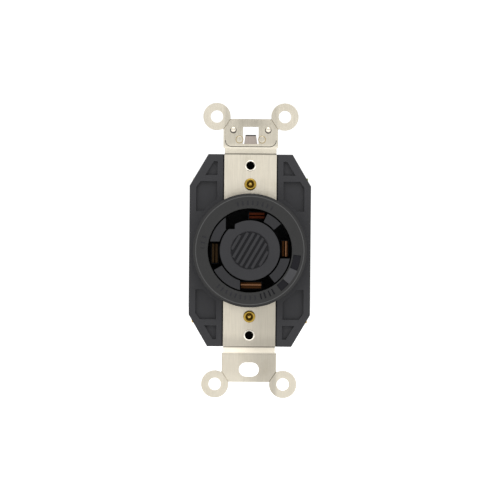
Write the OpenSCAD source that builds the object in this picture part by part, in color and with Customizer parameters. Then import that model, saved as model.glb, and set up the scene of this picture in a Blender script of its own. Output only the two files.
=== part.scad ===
// Flush locking receptacle: four curved slots in a round face, on a plated steel strap.
// Frame: X to the right, Z up, the face looks along -Y. The origin is midway between the four
// plaster ears, in the middle of their thickness; their rear faces lie against the wall.

/* [Strap] */
// Width of the strap's set-back middle
strap_w = 18.6; // [18.2:0.1:18.8]
// Width of the strap's two ends
end_w = 19.4; // [19.2:0.1:19.6]
// Height of the strap without its ears
strap_h = 93.4; // [93:0.1:94]
// Thickness of the strap's steel
strap_t = 1.3; // [1.2:0.05:1.4]
// How far the middle of the strap is set back behind its ears
strap_offset = 1.2; // [1:0.1:1.6]
// Distance between the two tapped holes for the cover plate's screws
plate_screw_spacing = 60.3; // [59.8:0.1:60.8]
// Radius of the tapped holes for the cover plate's screws
plate_screw_r = 1.45; // [1.3:0.05:1.5]
// Distance between the two box screws
box_screw_spacing = 83.3; // [82.8:0.1:83.8]
// Distance between the ears' holes, side to side
ear_spacing_x = 24.15; // [23.85:0.05:24.6]
// Distance between the ears' holes, top to bottom
ear_spacing_z = 95; // [94.6:0.1:95.4]
// Radius of a plaster ear
ear_r = 4.85; // [4.6:0.05:5]
// Radius of the hole in a plaster ear
ear_hole_r = 2.2; // [2:0.05:2.3]

/* [Mouldings] */
// Width of the body
body_w = 43.15; // [42.8:0.05:43.6]
// Height of the body
body_h = 68.3; // [67.6:0.1:68.5]
// Depth of the body from its front shelf to the back cover
body_d = 19.6; // [19:0.2:22]
// Depth of the back cover
cover_d = 9; // [8:0.5:12]
// Radius of the round face, which fills the cover plate's hole
face_r = 20.15; // [20:0.05:20.2]
// How far the face stands in front of the body's shelf
face_h = 9.4; // [8.8:0.1:10]

/* [Slots] */
// Radius of the centre post
post_r = 10.65; // [10.5:0.05:10.7]
// Radius of the round opening in the face
slot_outer_r = 14.9; // [14.85:0.05:15]
// How far the contacts lie behind the front of the face
contact_set_back = 5; // [4.5:0.1:6]

/* [Terminals] */
// Height of the terminal screws above and below the middle
terminal_z = 22.5; // [22.4:0.05:22.6]
// Radius of a terminal screw's head
head_r = 3.5; // [3.3:0.05:3.5]
// Thread radius of a terminal screw
terminal_screw_r = 2.4; // [2.3:0.05:2.4]

/* [Hidden] */

$fn = 96;
eps = 0.01;
long = 200;                                // longer than anything it cuts

// Depths along Y, front to back
ear_front = -strap_t / 2;
ear_rear = strap_t / 2;
strap_front = ear_front + strap_offset;    // front of the strap's set-back middle
strap_rear = ear_rear + strap_offset;
shelf_y = strap_rear - 2;                  // front of the body's shelf
face_y = shelf_y - face_h;
body_rear = shelf_y + body_d;
cover_rear = body_rear + cover_d;
shelf_t = 4.6;
bay_y = shelf_y + shelf_t;                 // front wall of the terminal bays
bus_y = bay_y + 7.4;                       // the contacts' rear strips
bus_t = 0.8;
carrier_floor = 2;
carrier_floor_y = bus_y - carrier_floor;
terminal_y = bay_y + 6;                    // axis of the terminal screws
contact_y = face_y + contact_set_back;
rivet_seat_y = bay_y + 3;                  // where the rivets' rear ends are rolled over
rear_step = 2;                             // depth of the cover's narrower rear
head_seat_y = cover_rear - 2.2;            // seat of the assembly screws' heads

// Outline of the body, seen from the front
corner_x = 14.95;
corner_z = 22.9;
channel_gap = 0.45;
pocket_d = 1.2;
collar_r = 21.6;                           // the shelf's collar around the face
rivet_pocket_r = 3.2;
jumper_gap = 0.1;                          // room around the jumper in the body
plate_screw_relief_r = 2.5;                // room behind the tapped holes
plate_screw_relief_d = 12;
bore_gap = 0.2;                            // radial room around the assembly screws
rivet_gap = 0.05;

// Strap details
rivet_z = 23.5;
rivet_r = 1.6;
rivet_head_r = 2.05;
rivet_head_t = 0.5;
rivet_bore_r = 1.2;
rivet_bore_d = 2;
rivet_foot_r = 2.7;
rivet_foot_t = 0.8;
jumper_t = 0.5;
jumper_half_w = 3;
jumper_low = 21;
jumper_h = 5;
joggle_inner_z = 34.3;
joggle_outer_z = 36.7;
joggle_lag = 0.2;                          // how much further out the rear face bends
edge_notch_z = 35.2;
end_z = 36;                                // where the strap's wider ends start
edge_notch = [1, 2.4];
neck_reach = 1.5;                          // how far an ear's neck runs out from the corner
ear_cut = [2.4, 3.7];                      // size of the strap's cut corners
window_half_w = 2.75;
window_z = [37.8, 43.9];
box_slot_r = 2.5;
box_slot_drop = 0.65;                      // the oval slot's middle lies this far below its screw's
slot_half = 1.05;                          // half the straight part of the oval slot
stake_x = 6.2;
stake_z = 42.8;
stake_r = 0.93;
stake_h = 0.45;
stake_gap = 0.02;
clip_t = 0.4;
clip_half_w = 8;
clip_low = 37.3;
clip_h = 8.2;
clip_arm = [2.4, 3];                       // width and length of the clip's two rear arms
clip_arm_x = 6.6;
tongue_half_w = [2.35, 1.85];              // at the tongue's foot and at its free end
tongue_h = 3.25;
tongue_set_back = 0.35;
strap_cut_d = 10;

// Round face
bevel = 0.85;
ring_groove = 0.5;
land_outer_r = slot_outer_r - ring_groove;
land_inner_r = post_r + 0.55;
eye_inner_r = slot_outer_r + 0.3;
eye_outer_r = 18.9;
screw_circle_r = 17.2;
assembly_r = 1.3;
assembly_start = 3;                        // depth of the screws' blind ends behind the face
assembly_head_r = 2.6;
assembly_head_t = 1.7;
assembly_slot = [0.8, 0.9];                // width and depth of the slot in a head
thread_gap = 0.06;
dish_r = 6.75;                             // shallow round recess in the post's front
dish_d = 0.5;
hook_notch = [-8.6, -5.4, 7.5];            // left edge, right edge and lowest point
leaf_hole_gap = 0.1;                       // room around the contacts in the carrier's floor

// The four slots: start and end angle, from +X towards +Z. All but the top one start with a straight
// edge parallel to their centre line, slot_start away from it
RIGHT = 0;
TOP = 1;
LEFT = 2;
BOTTOM = 3;
slot_from = [0, 64.6, 180, 270];
slot_to = [41, 125, 209, 308];
slot_start = [2.76, 0, 3.1, 3.4];

// Blade contacts, drawn at the right-hand slot and turned to their own: both ends along the leaf
leaf_from = [-2.1, -5.2, -2.4, -3.2];
leaf_to = [3.5, 0.4, 4.5, 4.2];
leaf_t = 0.6;
leaf_inner_x = 11.3;
leaf_outer_x = 12.9;
lip = 0.4;
spring_t = 0.3;
spring_set_back = 2;                       // behind the contacts' front edge

// Terminals, drawn at the upper right and mirrored
plate_x = 12;
plate_t = 1.2;
plate_d = 12.4;
plate_gap = 0.1;                           // room above and below a terminal plate
bus_inner_x = 10;
bus_low = 11;
bus_high = 14;
bus_end_z = 19.9;
bay_x = 7.2;
bay_low = 16.4;
bay_high = 28.2;
leaf_channel = [8.6, 6];                   // inner corner of the channel from the well to a bay
channel_outer_x = 13.4;
channel_gap_y = 0.1;
channel_gap_z = 0.2;
cross_channel_x = 4.4;
clamp_x = 16.8;
clamp_t = 1.4;
clamp_side = 9;
groove_w = 0.6;                            // gripping grooves of a clamp
groove_z = 3.6;
head_x = clamp_x + clamp_t + 0.05;
head_t = 2.35;
head_slot = [1.2, 1.1];                    // width and depth of the slot in a screw's head
head_cross = 4.4;                          // length of the short cross slot
shank_end_x = 11;
window_low_x = 13;
window_w = 4.4;
window_h = 9;
boss_r = 8;                                // boss of the cover that holds the contacts down

// Extrudes a front-view outline (X, Z) from depth y0 back to depth y1
module slab(y0, y1) {
    translate([0, y1, 0]) rotate([90, 0, 0]) linear_extrude(y1 - y0) children();
}

// Round bar along Y
module rod(r, y0, y1) {
    translate([0, y1, 0]) rotate([90, 0, 0]) cylinder(r = r, h = y1 - y0);
}

// Round bar along X
module cross_rod(r, x0, x1) {
    translate([x0, 0, 0]) rotate([0, 90, 0]) cylinder(r = r, h = x1 - x0);
}

// Flat wedge of the front view between two angles, up to 120 degrees apart
module wedge(a0, a1) {
    middle = (a0 + a1) / 2;
    polygon([[0, 0], for (a = [a0, middle, a1]) long / 4 * [cos(a), sin(a)]]);
}

// Places a child in all four corners of the front view
module in_corners() {
    for (sx = [0, 1], sz = [0, 1]) mirror([sx, 0, 0]) mirror([0, 0, sz]) children();
}

module body_outline(inset = 0) {
    w = body_w / 2 - inset;
    h = body_h / 2 - inset;
    cx = corner_x - inset * 0.57;
    cz = corner_z - inset * 0.27;
    polygon([[w, -cz], [w, cz], [cx, h], [-cx, h], [-w, cz], [-w, -cz], [-cx, -h], [cx, -h]]);
}

module around_face() {
    for (a = [0, 90, 180, 270]) rotate([0, a, 0]) translate([screw_circle_r, 0, 0]) children();
}

// Face moulding: the ring that fills the cover plate's hole
module face_ring() color("#3e3e41") difference() {
    union() {
        rotate([90, 0, 0]) translate([0, 0, -shelf_y]) rotate_extrude()
            polygon([[slot_outer_r, 0], [face_r, 0], [face_r, face_h - bevel],
                     [face_r - bevel, face_h], [slot_outer_r, face_h]]);
        difference() {
            rod(eye_outer_r, shelf_y, strap_front);
            rod(slot_outer_r, shelf_y - 1, strap_front + 1);
        }
    }
    around_face() rod(assembly_r + thread_gap, face_y + assembly_start, strap_front + 1);
}

// Post in the middle of the face, with the grounding blade's hook notch in its rim
module centre_post() color("#454548") difference() {
    rod(post_r, face_y, carrier_floor_y);
    rod(dish_r, face_y - 1, face_y + dish_d);
    slab(face_y - 1, carrier_floor_y + 1) hook_outline();
}

module hook_outline() {
    translate([hook_notch[0], hook_notch[2]]) square([hook_notch[1] - hook_notch[0], 7]);
}

// Round carrier whose four lands show between the centre post and the face ring
module contact_carrier() color("#464649") difference() {
    union() {
        rod(land_outer_r, face_y, bus_y);
        rod(slot_outer_r - 0.05, carrier_floor_y, bus_y);
    }
    rod(land_inner_r, face_y - 1, carrier_floor_y);
    slab(face_y - 1, carrier_floor_y) for (k = [RIGHT, TOP, LEFT, BOTTOM]) slot_outline(k);
    slab(face_y - 1, carrier_floor_y) hook_outline();
    for (k = [RIGHT, TOP, LEFT, BOTTOM]) at_slot(k)
        translate([leaf_inner_x - leaf_hole_gap, carrier_floor_y - 1, leaf_from[k] - leaf_hole_gap])
            cube([leaf_outer_x + leaf_t - leaf_inner_x + 2 * leaf_hole_gap, carrier_floor + 2,
                  leaf_to[k] - leaf_from[k] + 2 * leaf_hole_gap]);
}

// Flat outline of slot k, from the middle out to beyond the face
module slot_outline(k) {
    wedge(slot_from[k], slot_to[k]);
    if (slot_start[k] > 0) rotate(90 * k) translate([0, -slot_start[k]])
        square([long / 4, slot_start[k] + eps]);
}

// Turns a child from the right-hand slot to slot k
module at_slot(k) {
    rotate([0, -90 * k, 0]) children();
}

// Main moulding: front shelf, strap channel, round well and four terminal bays
module body() color("#3b3b3d") difference() {
    slab(shelf_y, body_rear) body_outline();
    slab(shelf_y - 1, strap_rear) square([strap_w + 2 * channel_gap, long], center = true);
    rod(eye_outer_r + 0.1, shelf_y - 1, strap_rear);
    rod(slot_outer_r, shelf_y - 1, body_rear + 1);
    in_corners() {
        slab(shelf_y - 1, shelf_y + pocket_d) corner_pockets();
        translate([bay_x, bay_y, bay_low]) cube([long, long, bay_high - bay_low]);
        translate([leaf_channel[0], bus_y - channel_gap_y, leaf_channel[1]])
            cube([channel_outer_x - leaf_channel[0], long, bay_low + 1 - leaf_channel[1]]);
        translate([cross_channel_x, bus_y - channel_gap_y, bus_low - channel_gap_z])
            cube([channel_outer_x - cross_channel_x, long, bus_high - bus_low + 2 * channel_gap_z]);
    }
    around_face() rod(assembly_r + bore_gap, shelf_y - 1, body_rear + 1);
    for (s = [-1, 1]) {
        translate([0, 0, s * rivet_z]) rod(rivet_r + rivet_gap, shelf_y, body_rear);
        translate([0, 0, s * rivet_z]) rod(rivet_pocket_r, rivet_seat_y, body_rear + 1);
        translate([0, 0, s * plate_screw_spacing / 2])
            rod(plate_screw_relief_r, shelf_y, strap_rear + plate_screw_relief_d);
    }
    translate([-rivet_pocket_r, rivet_seat_y, jumper_low - jumper_gap])
        cube([rivet_pocket_r + bay_x + 1, long, jumper_h + 2 * jumper_gap]);
}

// Shallow pockets of the shelf, upper right
module corner_pockets() {
    difference() {
        polygon([[11.8, 24.5], [17.6, 24.5], [19.2, 22.4], [19.2, 13.9], [11.8, 13.9]]);
        circle(r = collar_r);
    }
    polygon([[11.7, 26.7], [16, 26.7], [13, 31.6], [11.7, 31.6]]);
}

// Back cover with a wire window behind each terminal
module back_cover() color("#37373a") difference() {
    union() {
        slab(body_rear, cover_rear - rear_step) body_outline(0.3);
        slab(cover_rear - rear_step, cover_rear) body_outline(1.2);
        rod(boss_r, bus_y + eps, body_rear + 1);
    }
    in_corners() translate([window_low_x, body_rear - 1, terminal_z - window_h / 2])
        cube([window_w, cover_d + 2, window_h]);
    around_face() {
        rod(assembly_r + bore_gap, body_rear - 1, cover_rear);
        rod(assembly_head_r + bore_gap, head_seat_y, cover_rear + 1);
    }
}

// Side view of the strap (Y, Z), set back between its two joggles
module strap_section() {
    high = long / 2;
    inner = joggle_inner_z;
    outer = joggle_outer_z;
    lag = joggle_lag;
    polygon([[ear_front, -high], [ear_front, -outer], [strap_front, -inner], [strap_front, inner],
             [ear_front, outer], [ear_front, high], [ear_rear, high], [ear_rear, outer + lag],
             [strap_rear, inner + lag], [strap_rear, -inner - lag], [ear_rear, -outer - lag],
             [ear_rear, -high]]);
}

// Flat outline of the strap with its eye, ears and edge notches
module strap_outline() {
    w = end_w / 2;
    h = strap_h / 2;
    neck = neck_reach * [ear_cut[1], ear_cut[0]] / norm(ear_cut);
    difference() {
        union() {
            square([strap_w, 2 * end_z + 2], center = true);
            circle(r = eye_outer_r);
            for (sx = [0, 1], sz = [0, 1]) mirror([sx, 0]) mirror([0, sz]) {
                polygon([[-1, end_z], [w, end_z], [w, h - ear_cut[1]], [w - ear_cut[0], h], [-1, h]]);
                translate([ear_spacing_x, ear_spacing_z] / 2) circle(r = ear_r);
                polygon([[w, h - ear_cut[1]], [w, h - ear_cut[1]] + neck, [w - ear_cut[0], h] + neck,
                         [w - ear_cut[0], h]]);
            }
        }
        circle(r = eye_inner_r);
        for (a = [0, 90, 180, 270]) rotate(a) translate([screw_circle_r, 0])
            circle(r = assembly_r + bore_gap);
        for (sx = [-1, 1], sz = [-1, 1]) {
            translate([sx * ear_spacing_x / 2, sz * ear_spacing_z / 2]) circle(r = ear_hole_r);
            translate([sx * w, sz * edge_notch_z]) square(edge_notch, center = true);
        }
    }
}

// Steel strap: joggled plate with a round eye behind the face ring and four plaster ears
module strap() color("#ded6c6") difference() {
    intersection() {
        translate([-long / 2, 0, 0]) rotate([90, 0, 90]) linear_extrude(long) strap_section();
        slab(-strap_cut_d, strap_cut_d) strap_outline();
    }
    for (s = [-1, 1]) {
        translate([0, 0, s * plate_screw_spacing / 2]) rod(plate_screw_r, -strap_cut_d, strap_cut_d);
        translate([0, 0, s * rivet_z]) rod(rivet_r + rivet_gap, -strap_cut_d, strap_cut_d);
        translate([s * stake_x, 0, stake_z]) rod(stake_r + stake_gap, -strap_cut_d, strap_cut_d);
        translate([s * slot_half, 0, -box_screw_spacing / 2 - box_slot_drop])
            rod(box_slot_r, -strap_cut_d, strap_cut_d);
    }
    slab(-strap_cut_d, strap_cut_d) translate([0, -box_screw_spacing / 2 - box_slot_drop])
        square([2 * slot_half, 2 * box_slot_r], center = true);
    slab(-strap_cut_d, strap_cut_d) window_outline();
}

// Box-screw window at the top of the strap
module window_outline() {
    translate([-window_half_w, window_z[0]]) square([2 * window_half_w, window_z[1] - window_z[0]]);
}

// Bronze clip behind the top window: its tongue presses on the box screw to ground the strap
module grounding_clip() color("#b9b2a6") {
    difference() {
        slab(ear_rear, ear_rear + clip_t) translate([-clip_half_w, clip_low])
            square([2 * clip_half_w, clip_h]);
        slab(ear_rear - 1, ear_rear + 1) window_outline();
    }
    slab(ear_front + tongue_set_back, ear_rear + clip_t) translate([0, window_z[0]])
        polygon([[-tongue_half_w[0], 0], [tongue_half_w[0], 0], [tongue_half_w[1], tongue_h],
                 [-tongue_half_w[1], tongue_h]]);
    for (s = [-1, 1]) {
        translate([s * stake_x, 0, stake_z]) rod(stake_r, ear_front - stake_h, ear_rear);
        translate([s * clip_arm_x - clip_arm[0] / 2, ear_rear, window_z[0]])
            cube([clip_arm[0], clip_arm[1], clip_t]);
    }
}

// Brass strip from the strap's top rivet to the grounding terminal
module ground_jumper() color("#b8963c") difference() {
    translate([-jumper_half_w, rivet_seat_y, jumper_low])
        cube([plate_x + jumper_half_w, jumper_t, jumper_h]);
    translate([0, 0, rivet_z]) rod(rivet_r + rivet_gap, 0, long);
}

// Brass rivet, tubular at the front, from the strap to a seat at depth y1
module rivet(z, y1) color("#b89c3c") translate([0, 0, z]) difference() {
    union() {
        rod(rivet_r, strap_front, y1);
        rod(rivet_head_r, strap_front - rivet_head_t, strap_front);
        rod(rivet_foot_r, y1, y1 + rivet_foot_t);
    }
    rod(rivet_bore_r, strap_front - 1, strap_front + rivet_bore_d);
}

module rivet_top() rivet(rivet_z, rivet_seat_y + jumper_t);
module rivet_bottom() rivet(-rivet_z, rivet_seat_y);

// Four long screws from the back cover through body and strap into the face ring
module assembly_screws() color("#c9c9c6") around_face() difference() {
    union() {
        rod(assembly_r, face_y + assembly_start + 1, head_seat_y);
        rod(assembly_head_r, head_seat_y, head_seat_y + assembly_head_t);
    }
    translate([-long / 2, head_seat_y + assembly_head_t - assembly_slot[1], -assembly_slot[0] / 2])
        cube([long, assembly_slot[1] + 1, assembly_slot[0]]);
}

// Blade contact of slot k: two leaves in the slot, a rear strip and a tapped terminal plate,
// which lies in the quarter that sx and sz (0 or 1 for mirrored) choose
module contact(k, sx, sz) color("#a5672f") {
    w = leaf_to[k] - leaf_from[k];
    d = bus_y + bus_t - contact_y;
    at_slot(k) {
        translate([leaf_inner_x, contact_y, leaf_from[k]]) cube([leaf_t, d, w]);
        translate([leaf_inner_x, contact_y, leaf_from[k]]) cube([leaf_t + lip, leaf_t, w]);
        translate([leaf_outer_x, contact_y, leaf_from[k]]) cube([leaf_t, d, w]);
        translate([leaf_outer_x - lip, contact_y, leaf_from[k]]) cube([leaf_t + lip, leaf_t, w]);
        translate([leaf_inner_x, bus_y, leaf_from[k]]) cube([leaf_outer_x + leaf_t - leaf_inner_x, bus_t, w]);
    }
    mirror([sx, 0, 0]) mirror([0, 0, sz]) {
        if (k == RIGHT || k == LEFT) bus_bar(bus_inner_x, -leaf_to[k], bus_end_z);
        else {
            translate([-leaf_to[k], bus_y, bus_low])
                cube([plate_x + plate_t + leaf_to[k], bus_t, bus_high - bus_low]);
            bus_bar(bus_inner_x, bus_low, bus_end_z);
        }
        difference() {
            translate([plate_x, bay_y, bay_low + plate_gap])
                cube([plate_t, plate_d, bay_high - bay_low - 2 * plate_gap]);
            at_terminal() cross_rod(terminal_screw_r + thread_gap, 0, long);
        }
    }
}

// Upright strip of a contact between two heights
module bus_bar(x0, z0, z1) {
    translate([x0, bus_y, z0]) cube([plate_x + plate_t - x0, bus_t, z1 - z0]);
}

module at_terminal() {
    translate([0, terminal_y, terminal_z]) children();
}

module ground_contact() contact(TOP, 0, 0);
module line_x_contact() contact(RIGHT, 0, 1);
module line_y_contact() contact(BOTTOM, 1, 1);
module neutral_contact() contact(LEFT, 1, 0);

// Steel back-up spring of slot k, folded around both leaves
module spring(k) color("#8f9296") at_slot(k) {
    y0 = contact_y + spring_set_back;
    d = carrier_floor_y - 1 - y0;
    w = leaf_to[k] - leaf_from[k];
    translate([leaf_inner_x - spring_t, y0, leaf_from[k]]) cube([spring_t, d, w]);
    translate([leaf_outer_x + leaf_t, y0, leaf_from[k]]) cube([spring_t, d, w]);
    translate([leaf_inner_x - spring_t, y0, leaf_to[k]])
        cube([leaf_outer_x + leaf_t - leaf_inner_x + 2 * spring_t, d, spring_t]);
}

module ground_spring() spring(TOP);
module line_x_spring() spring(RIGHT);
module line_y_spring() spring(BOTTOM);
module neutral_spring() spring(LEFT);

// Clamp plate that the terminal screw draws against the wires, with two gripping grooves
module clamp(sx, sz, tint) color(tint) mirror([sx, 0, 0]) mirror([0, 0, sz]) at_terminal() difference() {
    translate([clamp_x, -clamp_side / 2, -clamp_side / 2]) cube([clamp_t, clamp_side, clamp_side]);
    cross_rod(terminal_screw_r + thread_gap, 0, long);
    for (s = [-1, 1]) translate([clamp_x, 0, s * groove_z]) rotate([0, 45, 0])
        cube([groove_w, long, groove_w], center = true);
}

module ground_clamp() clamp(0, 0, "#6f9c58");
module line_x_clamp() clamp(0, 1, "#b8963c");
module line_y_clamp() clamp(1, 1, "#b8963c");
module neutral_clamp() clamp(1, 0, "#c9c9c6");

// Terminal screw with a slotted, round head
module terminal_screw(sx, sz, tint) color(tint) mirror([sx, 0, 0]) mirror([0, 0, sz]) at_terminal()
difference() {
    union() {
        cross_rod(terminal_screw_r, shank_end_x, head_x);
        cross_rod(head_r, head_x, head_x + head_t);
    }
    translate([head_x + head_t - head_slot[1], -head_slot[0] / 2, -long / 2])
        cube([head_slot[1] + 1, head_slot[0], long]);
    translate([head_x + head_t - head_slot[1], -head_cross / 2, -head_slot[0] / 2])
        cube([head_slot[1] + 1, head_cross, head_slot[0]]);
}

module ground_screw() terminal_screw(0, 0, "#5f8f4c");
module line_x_screw() terminal_screw(0, 1, "#b8963c");
module line_y_screw() terminal_screw(1, 1, "#b8963c");
module neutral_screw() terminal_screw(1, 0, "#c9c9c6");

face_ring();
centre_post();
contact_carrier();
body();
back_cover();
strap();
grounding_clip();
ground_jumper();
rivet_top();
rivet_bottom();
assembly_screws();
ground_contact();
line_x_contact();
line_y_contact();
neutral_contact();
ground_spring();
line_x_spring();
line_y_spring();
neutral_spring();
ground_clamp();
line_x_clamp();
line_y_clamp();
neutral_clamp();
ground_screw();
line_x_screw();
line_y_screw();
neutral_screw();
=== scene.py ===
import math
import bmesh
import bpy
from mathutils import Matrix, Vector


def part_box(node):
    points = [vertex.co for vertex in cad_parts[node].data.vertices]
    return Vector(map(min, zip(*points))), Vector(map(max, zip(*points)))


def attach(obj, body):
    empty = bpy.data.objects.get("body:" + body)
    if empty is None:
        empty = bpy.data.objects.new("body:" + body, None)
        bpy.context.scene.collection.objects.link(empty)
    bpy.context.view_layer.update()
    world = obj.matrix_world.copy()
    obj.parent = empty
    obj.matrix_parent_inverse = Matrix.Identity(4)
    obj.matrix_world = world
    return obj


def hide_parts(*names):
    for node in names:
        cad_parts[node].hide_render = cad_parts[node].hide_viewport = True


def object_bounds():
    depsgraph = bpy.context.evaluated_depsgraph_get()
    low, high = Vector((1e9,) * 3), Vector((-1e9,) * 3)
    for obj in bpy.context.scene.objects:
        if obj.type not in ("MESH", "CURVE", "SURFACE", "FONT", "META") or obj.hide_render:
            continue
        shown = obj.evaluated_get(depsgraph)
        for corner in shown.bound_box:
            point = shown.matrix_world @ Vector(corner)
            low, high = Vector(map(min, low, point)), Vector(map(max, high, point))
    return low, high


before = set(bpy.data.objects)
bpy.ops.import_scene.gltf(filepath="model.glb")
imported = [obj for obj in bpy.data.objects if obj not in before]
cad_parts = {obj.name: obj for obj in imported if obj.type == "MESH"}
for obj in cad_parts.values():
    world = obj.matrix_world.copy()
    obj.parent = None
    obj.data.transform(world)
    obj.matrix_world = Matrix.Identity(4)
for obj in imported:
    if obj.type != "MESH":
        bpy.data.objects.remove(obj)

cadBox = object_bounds()
mm = 0.001
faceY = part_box("face_ring")[0].y / mm            # front of the face
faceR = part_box("face_ring")[1].x / mm
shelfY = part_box("body")[0].y / mm
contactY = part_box("line_x_contact")[0].y / mm    # front of the contacts in the slots
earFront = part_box("strap")[0].y / mm
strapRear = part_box("strap")[1].y / mm
strapFront = strapRear + 2 * earFront            # the ears' thickness is centred on the origin
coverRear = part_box("back_cover")[1].y / mm
print("frame loaded:", len(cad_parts), "nodes")


# materials

def linearColour(hexValue):
    parts = [int(hexValue[i:i + 2], 16) / 255 for i in (1, 3, 5)]
    return tuple(c / 12.92 if c <= 0.04045 else ((c + 0.055) / 1.055) ** 2.4 for c in parts) + (1.0,)


def addNode(tree, kind, settings=None, links=None):
    node = tree.nodes.new("ShaderNode" + kind)
    for key, value in (settings or {}).items():
        if isinstance(key, str) and hasattr(node, key):
            setattr(node, key, value)
        else:
            node.inputs[key].default_value = value
    for key, socket in (links or {}).items():
        tree.links.new(socket, node.inputs[key])
    return node


def startMaterial(name, shaderSettings):
    material = bpy.data.materials.new(name)
    material.use_nodes = True
    tree = material.node_tree
    tree.nodes.clear()
    shader = addNode(tree, "BsdfPrincipled", shaderSettings)
    addNode(tree, "OutputMaterial", links={"Surface": shader.outputs["BSDF"]})
    place = addNode(tree, "TexCoord").outputs["Object"]
    return material, tree, shader, place


def perMetre(millimetres):  # texture scale whose pattern repeats about every so many millimetres
    return 1 / (millimetres * mm)


def addNoise(tree, place, millimetres, detail, rough=0.5):
    settings = {"Scale": perMetre(millimetres), "Detail": detail, "Roughness": rough}
    return addNode(tree, "TexNoise", settings, {"Vector": place}).outputs["Fac"]


def remap(tree, value, fromMin, fromMax, toMin, toMax, kind="LINEAR"):
    settings = {"interpolation_type": kind, "From Min": fromMin, "From Max": fromMax,
                "To Min": toMin, "To Max": toMax}
    return addNode(tree, "MapRange", settings, {"Value": value}).outputs[0]


def fadeAlong(tree, place, axis, start, end, atStart, atEnd):
    # a value that changes smoothly between two places along an axis, given in millimetres
    split = addNode(tree, "SeparateXYZ", links={"Vector": place})
    return remap(tree, split.outputs[axis], start * mm, end * mm, atStart, atEnd, "SMOOTHSTEP")


def mixColours(tree, share, first, second, blend="MIX"):
    # the share and both colours can each be a value, a hex value or a socket
    settings = {"data_type": "RGBA", "blend_type": blend}
    links = {}
    for index, value in ((0, share), (6, first), (7, second)):
        if isinstance(value, bpy.types.NodeSocket):
            links[index] = value
        else:
            settings[index] = linearColour(value) if isinstance(value, str) else value
    return addNode(tree, "Mix", settings, links).outputs[2]


nylonLook = {"sheen": 0.14, "deepSheen": 0.1, "deepShade": 0.85, "speck": "#77777a", "speckShare": 0.09,
             "flow": 7, "dust": 0.9, "grain": 0.3, "relief": 0.014}


def mouldedNylon(name, dark, light, rough=(0.46, 0.62), deep=None, rim=None):
    # glass-filled nylon, injection moulded in a spark-eroded tool: satin charcoal with a fine dull grain
    s = nylonLook
    material, tree, shader, place = startMaterial(name, {"IOR": 1.53, "Specular IOR Level": s["sheen"]})
    flow = addNoise(tree, place, s["flow"], 4, 0.6)
    fine = addNoise(tree, place, s["grain"], 2)
    dust = addNoise(tree, place, s["dust"], 6, 0.75)
    tone = mixColours(tree, flow, dark, light)
    specks = remap(tree, dust, 0.62, 0.78, 0, s["speckShare"])
    colour = mixColours(tree, specks, tone, s["speck"])
    if deep:
        # painted shade: inside the slots the walls darken and lose their sheen with depth
        shade = fadeAlong(tree, place, "Y", *deep, 1.0, s["deepShade"])
        colour = mixColours(tree, 1.0, colour, shade, "MULTIPLY")
        sheen = fadeAlong(tree, place, "Y", *deep, s["sheen"], s["deepSheen"])
        tree.links.new(sheen, shader.inputs["Specular IOR Level"])
    if rim:
        # painted shade: the turned outer bevel is painted darker than the face
        inner, outer, atRim = rim
        flat = addNode(tree, "Mapping", {"Scale": (1, 0, 1)}, {"Vector": place})
        radius = addNode(tree, "VectorMath", {"operation": "LENGTH"}, {0: flat.outputs[0]})
        shade = remap(tree, radius.outputs["Value"], inner * mm, outer * mm, 1.0, atRim)
        colour = mixColours(tree, 1.0, colour, shade, "MULTIPLY")
    bump = addNode(tree, "Bump", {"Strength": 0.6, "Distance": s["relief"] * mm}, {"Height": fine})
    tree.links.new(colour, shader.inputs["Base Color"])
    tree.links.new(remap(tree, flow, 0.3, 0.7, *rough), shader.inputs["Roughness"])
    tree.links.new(bump.outputs[0], shader.inputs["Normal"])
    return material


metalLook = {"lineStretch": 0.03, "cloud": 9, "relief": 0.006}


def rolledMetal(name, bright, dull, rough, along, lineGap=0.22, tarnish=None, tarnishShare=0.3, fades=()):
    # plated or bare rolled strip: fine straight rolling lines, soft clouding and a little tarnish
    s = metalLook
    material, tree, shader, place = startMaterial(name, {"Metallic": 1.0})
    stretch = [s["lineStretch"] if axis == along else 1 for axis in "XYZ"]
    lines = addNode(tree, "Mapping", {"Scale": stretch}, {"Vector": place})
    strokes = addNoise(tree, lines.outputs[0], lineGap, 3, 0.6)
    cloud = addNoise(tree, place, s["cloud"], 5, 0.62)
    tone = mixColours(tree, cloud, bright, dull)
    colour = mixColours(tree, remap(tree, cloud, 0.55, 0.8, 0, tarnishShare), tone, tarnish or dull)
    for shade, share, places in fades:
        # painted shade and painted reflections: slow changes of tone along the piece, in creases and deep
        # recesses and where it reflects darker surroundings
        amount = fadeAlong(tree, place, *places[0], 0.0, share)
        for more in places[1:]:
            also = fadeAlong(tree, place, *more, 0.0, 1.0)
            amount = addNode(tree, "Math", {"operation": "MULTIPLY"}, {0: amount, 1: also}).outputs[0]
        colour = mixColours(tree, amount, colour, shade)
    lined = mixColours(tree, 1.0, colour, remap(tree, strokes, 0.3, 0.7, 0.9, 1.06), "MULTIPLY")
    bump = addNode(tree, "Bump", {"Strength": 0.5, "Distance": s["relief"] * mm}, {"Height": strokes})
    tree.links.new(lined, shader.inputs["Base Color"])
    tree.links.new(remap(tree, strokes, 0.25, 0.75, *rough), shader.inputs["Roughness"])
    tree.links.new(bump.outputs[0], shader.inputs["Normal"])
    return material


# depths inside the slots over which the walls are painted into shade
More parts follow.
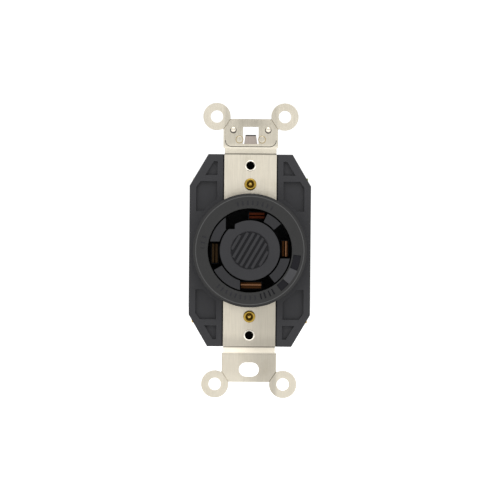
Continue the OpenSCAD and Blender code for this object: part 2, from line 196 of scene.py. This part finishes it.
slotWallShadeDepths = (faceY + 0.75, faceY + 3.15)
ringNylon = mouldedNylon("ringNylon", "#272727", "#2e2e2e", rim=(faceR - 0.86, faceR - 0.7, 0.72))
padNylon = mouldedNylon("padNylon", "#0b0b10", "#111116")
# painted highlight: a lighter tone on the bead round the face's edge, standing in for its bright rim line
highlightBeadNylon = mouldedNylon("paintedHighlightBead", "#414141", "#4b4b4b", rough=(0.34, 0.46))
tickNylon = mouldedNylon("tickNylon", "#202024", "#27272b")
patchNylon = mouldedNylon("patchNylon", "#38383a", "#414143")
postNylon = mouldedNylon("postNylon", "#29292b", "#313133", deep=slotWallShadeDepths)
dishNylon = mouldedNylon("dishNylon", "#0e0e11", "#141417")
landNylon = mouldedNylon("landNylon", "#242426", "#2b2b2d", deep=slotWallShadeDepths)
bodyNylon = mouldedNylon("bodyNylon", "#2e2e30", "#353537")
coverNylon = mouldedNylon("coverNylon", "#27272a", "#2f2f32")
# painted shade: a thin dark line in the strap's concave bend creases
bendCreaseShade = [("#57534b", 0.75, [("Z", k * 33.9, k * 34.15), ("Z", k * 34.65, k * 34.4)]) for k in (-1, 1)]
# painted reflections and shade: the strap greyer over its lower half, on a diagonal, near the bends and
# round the pad
paintedStrapReflections = [
    ("#a9a194", 0.22, [("Z", -8, -34), ("Z", -46, -42)]),
    ("#8a857b", 0.45, [("X", -5, 5), ("X", 10.6, 8.8), ("Z", -12, -24)]),
    ("#8a857b", 0.3, [("Z", -29, -32.5), ("Z", -34.2, -33.6)]),
    ("#8f8a7e", 0.3, [("Z", 36.6, 38.4), ("X", -10.4, -8.6), ("X", 10.4, 8.6)]),
    ("#8f8a7e", 0.4, [("Z", 42, 45.5), ("X", -7, -2), ("X", 7, 2)]),
]
nickelStrip = rolledMetal("nickelPlatedSteel", "#d7d0c1", "#c8c1b1", (0.3, 0.46), "Z", tarnish="#b3a991",
                          fades=paintedStrapReflections + bendCreaseShade)
# painted highlight: near-white nickel for the tapped holes' rims
highlightNickel = rolledMetal("highlightNickel", "#fbf7ee", "#e8e0d0", (0.16, 0.28), "Y")
stakedNickel = rolledMetal("stakedNickel", "#e6dfd0", "#d0c8b8", (0.24, 0.36), "Y")
clipBronze = rolledMetal("tinnedBronze", "#b5aaa2", "#8f867f", (0.34, 0.5), "Z", lineGap=0.3,
                         tarnish="#8f836c")
# painted shade: dark steel for strips and rings set where shadow falls
paintedShadeSteel = rolledMetal("paintedShadeSteel", "#4c4a46", "#35332f", (0.5, 0.7), "Y")
# the rivet's fade is painted shade: darker towards the head's seat on the strap and down into the bore
rivetBrass = rolledMetal("turnedBrass", "#b79b4c", "#8d7025", (0.26, 0.42), "Y", tarnish="#4f3c14",
                         fades=[("#3a2b0c", 0.9, [("Y", strapFront - 0.3, strapFront + 0.45)])])
rivetDome = rolledMetal("rolledBrassEnd", "#c2a556", "#9d8236", (0.26, 0.4), "Y", tarnish="#6a5320")
stampedBrass = rolledMetal("stampedBrass", "#d0b25c", "#a98638", (0.28, 0.45), "Z", tarnish="#6e5520")
# painted shade: contacts and springs darken with depth in the slots, and the contacts' base colours are
# painted darker than bare bronze as shade
contactShadeDepths = ("Y", contactY + 0.15, contactY + 4.35)
contactCopper = rolledMetal("phosphorBronze", "#382b1c", "#21180f", (0.35, 0.55), "Y", tarnish="#1a1009",
                            tarnishShare=0.6, fades=[("#160b05", 0.95, [contactShadeDepths])])
redBronze = rolledMetal("redBronzeTone", "#4a2113", "#2c130b", (0.35, 0.55), "Y", tarnish="#1c0b06",
                        tarnishShare=0.5, fades=[("#160b05", 0.95, [contactShadeDepths])])
tanBronze = rolledMetal("tannedBronze", "#4c2f18", "#2d1b0e", (0.35, 0.55), "Y", tarnish="#1d1009",
                        tarnishShare=0.5, fades=[("#160b05", 0.95, [contactShadeDepths])])
# painted highlight colour for bright bars on the contacts' front edges
highlightBronze = rolledMetal("paintedHighlightBronze", "#a8795a", "#7f5c40", (0.3, 0.45), "Y", tarnish="#3a2c1c")
springSteel = rolledMetal("bluedSpringSteel", "#2e3033", "#1f2123", (0.35, 0.5), "Y",
                          fades=[("#0c0c0e", 0.95, [contactShadeDepths])])
greenBrass = rolledMetal("greenDyedBrass", "#838c50", "#5b6538", (0.3, 0.45), "Y", tarnish="#464c28")
nickelBrass = rolledMetal("nickelPlatedBrass", "#d9d6cf", "#bdb9b0", (0.25, 0.4), "Y")
zincSteel = rolledMetal("zincPlatedSteel", "#c9cbcd", "#a4a7aa", (0.3, 0.5), "Y", tarnish="#8c8f88")
print("materials made:", len(bpy.data.materials))


# meshes

def finishPiece(bm, name, material, body="root", replaced=(), sharpAbove=32):
    # pieces are modelled in millimetres and stored in metres
    bmesh.ops.scale(bm, vec=(mm, mm, mm), verts=bm.verts)
    mesh = bpy.data.meshes.new(name)
    bm.to_mesh(mesh)
    bm.free()
    mesh.shade_smooth()
    mesh.set_sharp_from_angle(angle=math.radians(sharpAbove))
    mesh.materials.append(material)
    piece = bpy.data.objects.new(name, mesh)
    bpy.context.scene.collection.objects.link(piece)
    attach(piece, body)
    if replaced:
        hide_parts(*replaced)
    return piece


def roundEdges(bm, edges, width, segments=3):
    bmesh.ops.bevel(bm, geom=edges, offset=width, offset_type="OFFSET", affect="EDGES", segments=segments,
                    profile=0.5, material=-1, clamp_overlap=True)


def addBevel(piece, width, segments=2, angle=35):
    bevel = piece.modifiers.new("roundedEdges", "BEVEL")
    bevel.width = width * mm
    bevel.segments = segments
    bevel.profile = 0.5
    bevel.limit_method = "ANGLE"
    bevel.angle_limit = math.radians(angle)
    level = piece.modifiers.new("flatFacesStayFlat", "WEIGHTED_NORMAL")
    level.keep_sharp = True
    return piece


def copyOf(node):
    bm = bmesh.new()
    bm.from_mesh(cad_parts[node].data)
    bmesh.ops.scale(bm, vec=(1 / mm, 1 / mm, 1 / mm), verts=bm.verts)
    bmesh.ops.remove_doubles(bm, verts=bm.verts, dist=0.002)
    bmesh.ops.dissolve_limit(bm, angle_limit=math.radians(0.5), verts=bm.verts, edges=bm.edges)
    return bm


def softened(node, name, material, body="root", width=0.25, segments=2):
    # the CAD node's own shape with its edges rounded as a mould or a press leaves them
    return addBevel(finishPiece(copyOf(node), name, material, body, (node,)), width, segments)


def lathe(profile, steps=180):
    # closed outline of (radius, depth) points, turned once round the Y axis
    bm = bmesh.new()
    ring = [bm.verts.new((r, y, 0)) for r, y in profile]
    edges = [bm.edges.new((a, b)) for a, b in zip(ring, ring[1:] + ring[:1])]
    bmesh.ops.spin(bm, geom=ring + edges, cent=(0, 0, 0), axis=(0, 1, 0), angle=2 * math.pi, steps=steps,
                   use_merge=True, use_normal_flip=False)
    bmesh.ops.remove_doubles(bm, verts=bm.verts, dist=0.001)
    bmesh.ops.dissolve_degenerate(bm, edges=bm.edges, dist=0.0005)
    bmesh.ops.recalc_face_normals(bm, faces=bm.faces)
    return bm


def moved(bm, x=0, y=0, z=0, scale=(1, 1, 1)):
    bmesh.ops.scale(bm, vec=scale, verts=bm.verts)
    bmesh.ops.translate(bm, vec=(x, y, z), verts=bm.verts)
    return bm


def joined(parts):
    whole = bmesh.new()
    for part in parts:
        mesh = bpy.data.meshes.new("part")
        part.to_mesh(mesh)
        part.free()
        whole.from_mesh(mesh)
        bpy.data.meshes.remove(mesh)
    return whole


def arc(x, z, r, start, end, steps):
    turns = [math.radians(start + (end - start) * i / steps) for i in range(steps + 1)]
    return [(x + r * math.cos(a), z + r * math.sin(a)) for a in turns]


def plate(outer, holes, front, rear):
    # flat plate between two depths, from outlines of (x, z) points
    bm = bmesh.new()
    edges = []
    for loop in [outer] + holes:
        ring = [bm.verts.new((x, front, z)) for x, z in loop]
        edges += [bm.edges.new((a, b)) for a, b in zip(ring, ring[1:] + ring[:1])]
    bmesh.ops.triangle_fill(bm, use_beauty=True, use_dissolve=False, edges=edges)
    back = bmesh.ops.extrude_face_region(bm, geom=bm.faces[:])["geom"]
    backVerts = [v for v in back if isinstance(v, bmesh.types.BMVert)]
    bmesh.ops.translate(bm, verts=backVerts, vec=(0, rear - front, 0))
    bmesh.ops.recalc_face_normals(bm, faces=bm.faces)
    return bm


def bar(x, y, z, w, d, h, turn=0):
    # box with its middle at x, y, z, turned about the Y axis
    bm = bmesh.new()
    place = Matrix.Translation((x, y, z)) @ Matrix.Rotation(math.radians(turn), 4, "Y")
    bmesh.ops.create_cube(bm, size=1, matrix=place @ Matrix.Diagonal((w, d, h, 1)))
    return bm


print("building the face")
faceRing = {
    "openingR": 14.9, "spigotR": 18.9, "bevel": 0.85, "innerRound": 0.2,
    "bead": [(0.06, 0.06), (-0.02, -0.05), (-0.16, -0.07), (-0.3, 0)], "highlightBand": (1.12, 0.84),
    "pads": [(308, 320), (337, 355)], "patch": (320, 337), "padR": (15.4, 18.2),
    "bars": [284, 289.5, 295, 300.5], "barR": (15.6, 17.8),
    "ticks": [(228, 278, 6), (62, 106, 6), (163, 178, 7)], "tickR": (16.0, 17.6), "tickW": 2,
    "sink": 0.3, "barSink": 0.7, "tickSink": 0.3, "sinkEdge": 0.08,
}


def buildFaceRing(s):
    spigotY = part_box("face_ring")[1].y / mm
    bevelR = faceR - s["bevel"]
    steps = sorted(s["padR"] + s["barR"] + s["tickR"], reverse=True)
    profile = [(s["openingR"], spigotY), (s["spigotR"], spigotY), (s["spigotR"], shelfY), (faceR, shelfY),
               (faceR, faceY + s["bevel"])]
    profile += [(bevelR + r, faceY + y) for r, y in s["bead"]]
    profile += [(r, faceY) for r in steps] + [(s["openingR"], faceY)]
    bm = lathe(profile, 360)
    pads, bars, ticks, patch = [], [], [], []
    for f in bm.faces:
        c = f.calc_center_median()
        if abs(c.y - faceY) > 0.01:
            continue
        r = math.hypot(c.x, c.z)
        a = math.degrees(math.atan2(c.z, c.x)) % 360
        if s["padR"][0] < r < s["padR"][1] and any(p[0] < a < p[1] for p in s["pads"]):
            pads.append(f)
        elif s["padR"][0] < r < s["padR"][1] and s["patch"][0] < a < s["patch"][1]:
            patch.append(f)
        elif s["barR"][0] < r < s["barR"][1] and any(abs(a - p) < 1 for p in s["bars"]):
            bars.append(f)
        elif s["tickR"][0] < r < s["tickR"][1] and any(
                p[0] < a < p[1] and (a - p[0]) % p[2] < s["tickW"] for p in s["ticks"]):
            ticks.append(f)
    for faces, share in ((pads, 1), (bars, s["barSink"]), (ticks, s["tickSink"])):
        bmesh.ops.inset_region(bm, faces=faces, thickness=s["sinkEdge"], depth=-s["sink"] * share,
                               use_even_offset=True)
    # the faces on the bead get the painted highlight tone
    outer, inner = s["highlightBand"]
    bead = [f for f in bm.faces if faceR - outer < math.hypot(*f.calc_center_median().xz) < faceR - inner
            and f.calc_center_median().y < faceY + 0.02]
    for index, faces in ((1, pads + bars), (2, patch), (3, bead), (4, ticks)):
        for f in faces:
            f.material_index = index
    rims = [e for e in bm.edges if e.calc_face_angle(0) > math.radians(30)
            and all(abs(v.co.y - faceY) < 0.01 for v in e.verts)
            and all(abs(math.hypot(v.co.x, v.co.z) - s["openingR"]) < 0.02 for v in e.verts)]
    roundEdges(bm, rims, s["innerRound"])
    ring = finishPiece(bm, "faceRing", ringNylon, replaced=("face_ring",))
    for extra in (padNylon, patchNylon, highlightBeadNylon, tickNylon):
        ring.data.materials.append(extra)


buildFaceRing(faceRing)
softened("contact_carrier", "contactCarrier", landNylon, width=0.25)
softened("centre_post", "centrePost", postNylon, width=0.3)

postHatch = {"dishR": 6.4, "floorR": 6.7, "gap": 1.9, "barW": 1.0, "height": 0.3, "turn": 60, "floor": 0.5}


def buildHatch(s):
    # even slanting ribs in the post's shallow dish
    count = int(s["dishR"] / s["gap"])
    turn = math.radians(s["turn"])
    ribs = []
    for i in range(-count, count + 1):
        u = i * s["gap"]
        length = 2 * math.sqrt(s["dishR"] ** 2 - u * u)
        depth = s["height"] + 0.1
        ribs.append(bar(u * math.sin(turn), faceY + s["floor"] + 0.1 - depth / 2, -u * math.cos(turn),
                        length, depth, s["barW"], -s["turn"]))
    bm = joined(ribs)
    fronts = [e for e in bm.edges if all(v.co.y < faceY + s["floor"] - 0.05 for v in e.verts)]
    roundEdges(bm, fronts, 0.16)
    finishPiece(bm, "postHatch", postNylon)
    floorY = faceY + s["floor"]
    front, rear = floorY - 0.05, floorY + 0.1
    disc = lathe([(0, front), (s["floorR"], front), (s["floorR"], rear), (0, rear)], 96)
    finishPiece(disc, "dishFloor", dishNylon)


buildHatch(postHatch)

print("building the strap")
strapShape = {
    "thickness": 1.3, "cadInner": 34.3, "cadOuter": 36.7, "lag": 0.2, "inner": 34.12, "outer": 36.55,
    "round": 0.55,
    "scoreFrom": (7.22, 46.72), "scoreTo": (9.72, 42.96), "scoreHalfW": 0.13, "scoreDepth": 0.16,
    "padLow": 36.95, "padHalfW": 8.95, "padCorner": 2.2, "padTop": 46.4, "padRise": 0.16, "padShadowWidth": 0.22,
    "windowHalfW": 2.75, "windowLow": 37.8, "windowHigh": 43.9,
    "stakeX": 6.2, "stakeZ": 42.8, "stakeR": 0.95, "lugX": 4.0, "lugZ": 39.4, "lugR": 1.2,
    "screwZ": 30.15, "screwR": 1.45,
}


def bent(z, inner, outer, rounded, low, high):
    # depth of a surface with one joggle: high inside, low outside, with a rounded outer bend
    z = abs(z)
    if z <= inner:
        return high
    slope = (low - high) / (outer - inner)
    if z < outer - rounded:
        return high + slope * (z - inner)
    if z > outer + rounded:
        return low
    t = (outer + rounded - z) / (2 * rounded)
    return low - slope * rounded * t * t


def buildStrap(s):
    bm = copyOf("strap")
    t = s["thickness"]
    middleFront = strapRear - t
    levels = [s["inner"], s["inner"] + 0.2] + [s["outer"] + s["round"] * k / 4 for k in range(-4, 5)]
    for level in levels:
        for sign in (-1, 1):
            bmesh.ops.bisect_plane(bm, geom=bm.verts[:] + bm.edges[:] + bm.faces[:], dist=0.001,
                                   plane_co=(0, 0, sign * level), plane_no=(0, 0, 1))
    for v in bm.verts:
        z = v.co.z
        front = bent(z, s["cadInner"], s["cadOuter"], 0.001, earFront, middleFront)
        rear = bent(abs(z) - s["lag"], s["cadInner"], s["cadOuter"], 0.001, earFront, middleFront) + t
        share = (v.co.y - front) / (rear - front)
        front = bent(z, s["inner"], s["outer"], s["round"], earFront, middleFront)
        rear = bent(abs(z) - s["lag"], s["inner"], s["outer"], s["round"], earFront, middleFront) + t
        v.co.y = front + share * (rear - front)
    # the ears' snap-off scores, pressed into the front
    a, b = Vector(s["scoreFrom"]), Vector(s["scoreTo"])
    along = (b - a).normalized()
    across = Vector((-along.y, along.x))
    for sx in (-1, 1):
        for sz in (-1, 1):
            for offset in (-s["scoreHalfW"], 0, s["scoreHalfW"]):
                faces = [f for f in bm.faces if any(sx * v.co.x > 6 and sz * v.co.z > 41 for v in f.verts)]
                verts = list({v for f in faces for v in f.verts})
                edges = list({e for f in faces for e in f.edges})
                point = a + across * offset
                bmesh.ops.bisect_plane(bm, geom=verts + edges + faces, dist=0.001,
                                       plane_co=(sx * point.x, 0, sz * point.y),
                                       plane_no=(sx * across.x, 0, sz * across.y))
    bmesh.ops.triangulate(bm, faces=bm.faces)
    for v in bm.verts:
        q = Vector((abs(v.co.x), abs(v.co.z))) - a
        onLine = abs(q.dot(across)) < 0.01 and -0.2 < q.dot(along) < (b - a).length + 0.2
        if onLine and v.co.y < earFront + 0.05:
            v.co.y += s["scoreDepth"]
    bmesh.ops.recalc_face_normals(bm, faces=bm.faces)
    strap = finishPiece(bm, "mountingStrap", nickelStrip, replaced=("strap",), sharpAbove=20)
    addBevel(strap, 0.12, angle=50)


def circle(x, z, r, steps=40):
    return arc(x, z, r, 0, 360 * (steps - 1) / steps, steps - 1)


def buildPad(s):
    # raised pad around the top window, where the clip is staked on
    w, c, low, top = s["padHalfW"], s["padCorner"], s["padLow"], s["padTop"]
    outer = [(-6.8, top), (-w, 43.1)] + arc(-w + c, low + c, c, 180, 270, 8) + \
        arc(w - c, low + c, c, 270, 360, 8) + [(w, 43.1), (6.8, top)]
    window = [(-s["windowHalfW"], s["windowLow"]), (s["windowHalfW"], s["windowLow"]),
              (s["windowHalfW"], s["windowHigh"]), (-s["windowHalfW"], s["windowHigh"])]
    holes = [window] + [circle(k * s["stakeX"], s["stakeZ"], s["stakeR"] + 0.05) for k in (-1, 1)]
    bm = plate(outer, holes, earFront - s["padRise"], earFront + 0.05)
    addBevel(finishPiece(bm, "pressedPad", nickelStrip), 0.1)
    # a fine dark strip round the pad's lower edge is painted shadow
    g = s["padShadowWidth"]
    inside = arc(-w + c, low + c, c, 180, 270, 16) + arc(w - c, low + c, c, 270, 360, 16)
    outside = arc(-w + c, low + c, c + g, 180, 270, 16) + arc(w - c, low + c, c + g, 270, 360, 16)
    shadowStrip = plate(inside + outside[::-1], [], earFront - 0.02, earFront + 0.05)
    finishPiece(shadowStrip, "padEdgeShadow", paintedShadeSteel)


def buildStrapDetails(s):
    # rims of the two tapped holes painted bright as a highlight, the staked rivets' heads with dark rings
    # painted below them as shadow, and the two pressed lugs by the tongue
    middle = strapRear - s["thickness"]
    r = s["screwR"]
    rim = [(r, middle + 0.3), (r, middle - 0.06), (r + 0.1, middle - 0.16), (r + 0.3, middle - 0.14),
           (r + 0.52, middle - 0.02), (r + 0.56, middle + 0.1)]
    rims = [moved(lathe(rim, 72), z=k * s["screwZ"]) for k in (-1, 1)]
    finishPiece(joined(rims), "tappedRims", highlightNickel, sharpAbove=50)
    quarter = [math.radians(a) for a in range(15, 90, 15)]
    dome = [(0, 0.2), (1.0, 0.2), (1.0, 0)] + [(math.cos(a), -math.sin(a)) for a in quarter] + [(0, -1)]
    front = earFront - s["padRise"]
    heads = [moved(lathe(dome, 48), k * s["stakeX"], front - 0.1, s["stakeZ"] + 0.12,
                   (s["stakeR"], 0.42, s["stakeR"])) for k in (-1, 1)]
    finishPiece(joined(heads), "stakedHeads", stakedNickel, sharpAbove=60)
    # dark rings set a little below each stake head are painted shadow
    stakeShadows = [moved(lathe([(0.2, 0.05), (0.2, -0.03), (1.12, -0.03), (1.18, 0.05)], 48), k * s["stakeX"],
                     front, s["stakeZ"] - 0.12) for k in (-1, 1)]
    finishPiece(joined(stakeShadows), "stakeShadowRings", paintedShadeSteel)
    r = s["lugR"]
    lug = [(0, 0.1), (r, 0.1), (r, -0.12), (r - 0.08, -0.2), (r - 0.25, -0.24), (0, -0.24)]
    lugs = [moved(lathe(lug, 48), k * s["lugX"], front, s["lugZ"]) for k in (-1, 1)]
    finishPiece(joined(lugs), "pressedLugs", nickelStrip, sharpAbove=60)
    edge = [(r - 0.05, 0.05), (r - 0.05, -0.03), (r + 0.15, -0.03), (r + 0.17, 0.05)]
    edges = [moved(lathe(edge, 48), k * s["lugX"], front, s["lugZ"]) for k in (-1, 1)]
    finishPiece(joined(edges), "lugEdges", rivetBrass)
    # a dark bar on the tongue's top edge is painted shade
    tip = bar(0, earFront + 0.72, 40.86, 3.76, 0.9, 0.42)
    addBevel(finishPiece(tip, "tongueEdgeShade", paintedShadeSteel), 0.08)


buildStrap(strapShape)
buildPad(strapShape)
buildStrapDetails(strapShape)
softened("grounding_clip", "groundingClip", clipBronze, width=0.1)

print("building the rivets")
rivet = {
    "r": 1.6, "headR": 2.15, "rise": 0.5, "boreR": 1.25, "boreD": 0.8, "footR": 2.7, "footT": 0.8,
    "domeR": 1.0, "domeRise": 0.75,
}


def buildRivet(s, node, name):
    # tubular brass rivet: rolled rim, dark bore and a bright domed bottom
    low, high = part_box(node)
    z = (low.z + high.z) / 2 / mm
    end = high.y / mm
    seat = strapRear - strapShape["thickness"]
    top = seat - s["rise"]
    profile = [(0, seat + s["boreD"]), (s["boreR"], seat + s["boreD"]), (s["boreR"], top + 0.35),
               (s["boreR"] + 0.08, top + 0.14), (s["boreR"] + 0.24, top + 0.02), (s["boreR"] + 0.44, top),
               (s["headR"] - 0.16, top + 0.09), (s["headR"] - 0.03, top + 0.24), (s["headR"], seat - 0.06),
               (s["headR"] - 0.1, seat), (s["r"], seat), (s["r"], end - s["footT"]),
               (s["footR"], end - s["footT"]), (s["footR"], end - 0.2), (s["footR"] - 0.2, end), (0, end)]
    finishPiece(moved(lathe(profile, 96), z=z), name, rivetBrass, replaced=(node,),
                sharpAbove=40)
    dome = [(0, 0.1), (1, 0.1), (1, 0), (0.93, -0.35), (0.75, -0.66), (0.5, -0.87), (0.25, -0.97), (0, -1)]
    dome = moved(lathe(dome, 64), y=seat + s["boreD"], z=z, scale=(s["domeR"], s["domeRise"], s["domeR"]))
    finishPiece(dome, name + "Dome", rivetDome, sharpAbove=60)


buildRivet(rivet, "rivet_top", "topRivet")
buildRivet(rivet, "rivet_bottom", "bottomRivet")

for node, name, material, slot, width in (
        ("body", "mainBody", bodyNylon, "body_moulding", 0.3),
        ("back_cover", "backCover", coverNylon, "cover_moulding", 0.4),
        ("ground_jumper", "groundJumper", stampedBrass, "brass", 0.1),
        ("assembly_screws", "assemblyScrews", zincSteel, "plated_screw", 0.25)):
    softened(node, name, material, width=width)

coverMarks = {
    "ejectors": [(-9.5, 27.5), (9.5, 27.5), (-9.5, -27.5), (9.5, -27.5), (0, 22), (0, -22)],
    "ejectorR": 1.7, "gauge": (0, 0, 3.2, 14.2), "rib": 0.45, "rise": 0.22,
}


def buildCoverMarks(s):
    # faint ejector discs and the plain raised frame of the stripping gauge on the cover's rear
    disc = [(0, 0.1), (s["ejectorR"], 0.1), (s["ejectorR"], 0), (s["ejectorR"] - 0.06, -0.1), (0, -0.1)]
    discs = [moved(lathe(disc, 48), x, coverRear, z, (1, -1, 1)) for x, z in s["ejectors"]]
    for bm in discs:
        bmesh.ops.recalc_face_normals(bm, faces=bm.faces)
    finishPiece(joined(discs), "ejectorMarks", coverNylon)
    x, z, w, h = s["gauge"]
    t = s["rib"]
    y = coverRear + s["rise"] / 2 - 0.05
    d = s["rise"] + 0.1
    frameBars = [bar(x - w, y, z, t, d, h + t), bar(x + w, y, z, t, d, h + t),
                 bar(x, y, z + h / 2, 2 * w - t, d, t), bar(x, y, z - h / 2, 2 * w - t, d, t)]
    addBevel(finishPiece(joined(frameBars), "gaugeFrame", coverNylon), 0.1)


buildCoverMarks(coverMarks)

print("building the terminals")
terminals = {
    "ground": ("green_metal", greenBrass, redBronze), "line_x": ("brass", stampedBrass, tanBronze),
    "line_y": ("brass", stampedBrass, tanBronze), "neutral": ("silver_metal", nickelBrass, contactCopper),
}
for t, (slot, material, contact) in terminals.items():
    softened(t + "_contact", t + "Contact", contact, width=0.12)
    softened(t + "_spring", t + "Spring", springSteel, width=0.05)
    softened(t + "_clamp", t + "Clamp", material, body=t + "_clamp", width=0.15)
    softened(t + "_screw", t + "Screw", material, body=t + "_screw", width=0.3, segments=3)

lips = {"right": (12.75, 0.7, 5.6), "bottom": (0.5, -12.2, 7.4), "width": 0.42, "depth": 0.35}


def buildLipHighlights(s):
    # painted highlights: bright bars on the front edges of two contacts, where their rounded lead-ins catch
    # the light
    x, z, length = s["right"]
    right = bar(x, contactY + s["depth"] / 2 - 0.03, z, s["width"], s["depth"], length)
    addBevel(finishPiece(right, "highlightStreakRight", highlightBronze), 0.08)
    x, z, length = s["bottom"]
    bottom = bar(x, contactY + s["depth"] / 2 - 0.03, z, length, s["depth"], s["width"])
    addBevel(finishPiece(bottom, "highlightStreakBottom", highlightBronze), 0.08)


buildLipHighlights(lips)


# stage, light and camera

def buildFloor():
    # light table: matte white acrylic with a soft glow from below and a faint unevenness
    material, tree, shader, place = startMaterial("lightTableAcrylic", {
        "Roughness": 0.9, "Specular IOR Level": 0.1, "Emission Color": (1, 1, 1, 1),
        "Emission Strength": 0.3})
    tone = mixColours(tree, addNoise(tree, place, 120, 3), "#e9e9e8", "#eeeeee")
    tree.links.new(tone, shader.inputs["Base Color"])
    bm = bmesh.new()
    bmesh.ops.create_grid(bm, x_segments=8, y_segments=8, size=3)
    bmesh.ops.translate(bm, verts=bm.verts, vec=(0, 0, cadBox[0].z - 6 * mm))
    mesh = bpy.data.meshes.new("floor")
    bm.to_mesh(mesh)
    bm.free()
    mesh.materials.append(material)
    floor = bpy.data.objects.new("floor", mesh)
    bpy.context.scene.collection.objects.link(floor)


def addSoftbox(name, place, size, watts, target=(0, 0, 0)):
    light = bpy.data.lights.new(name, "AREA")
    light.shape = "RECTANGLE"
    light.size, light.size_y = size
    light.energy = watts
    lamp = bpy.data.objects.new(name, light)
    lamp.location = place
    lamp.rotation_euler = (Vector(target) - Vector(place)).to_track_quat("-Z", "Y").to_euler()
    bpy.context.scene.collection.objects.link(lamp)


def buildWorld():
    world = bpy.data.worlds.new("studio")
    bpy.context.scene.world = world
    world.use_nodes = True
    tree = world.node_tree
    tree.nodes.clear()
    ray = addNode(tree, "TexCoord")
    split = addNode(tree, "SeparateXYZ", links={"Vector": ray.outputs["Generated"]})
    upward = remap(tree, split.outputs["Z"], -0.6, 0.9, 0.8, 1.3)
    behind = remap(tree, split.outputs["Y"], -1, 0.4, 0.86, 1.12)
    strength = addNode(tree, "Math", {"operation": "MULTIPLY"}, {0: upward, 1: behind})
    sky = addNode(tree, "Background", {"Color": (1, 1, 1, 1)}, {"Strength": strength.outputs[0]})
    addNode(tree, "OutputWorld", links={"Surface": sky.outputs[0]})


camera = {"distance": 1.6, "widthAcross": 176.6, "centre": (0.06, 0.17), "roll": -0.49, "sensor": 36}


def buildCamera(s):
    data = bpy.data.cameras.new("camera")
    lens = bpy.data.objects.new("camera", data)
    bpy.context.scene.collection.objects.link(lens)
    data.sensor_width = s["sensor"]
    data.lens = s["sensor"] * s["distance"] / (s["widthAcross"] * mm)
    data.clip_end = 20
    lens.location = (s["centre"][0] * mm, faceY * mm - s["distance"], s["centre"][1] * mm)
    lens.rotation_euler = (math.radians(90), math.radians(s["roll"]), 0)
    bpy.context.scene.camera = lens


buildFloor()
buildWorld()
addSoftbox("overheadSoftbox", (0, -0.6, 0.8), (0.9, 0.6), 3.5)
buildCamera(camera)
bpy.context.scene.view_settings.view_transform = "Standard"
print("stage ready")
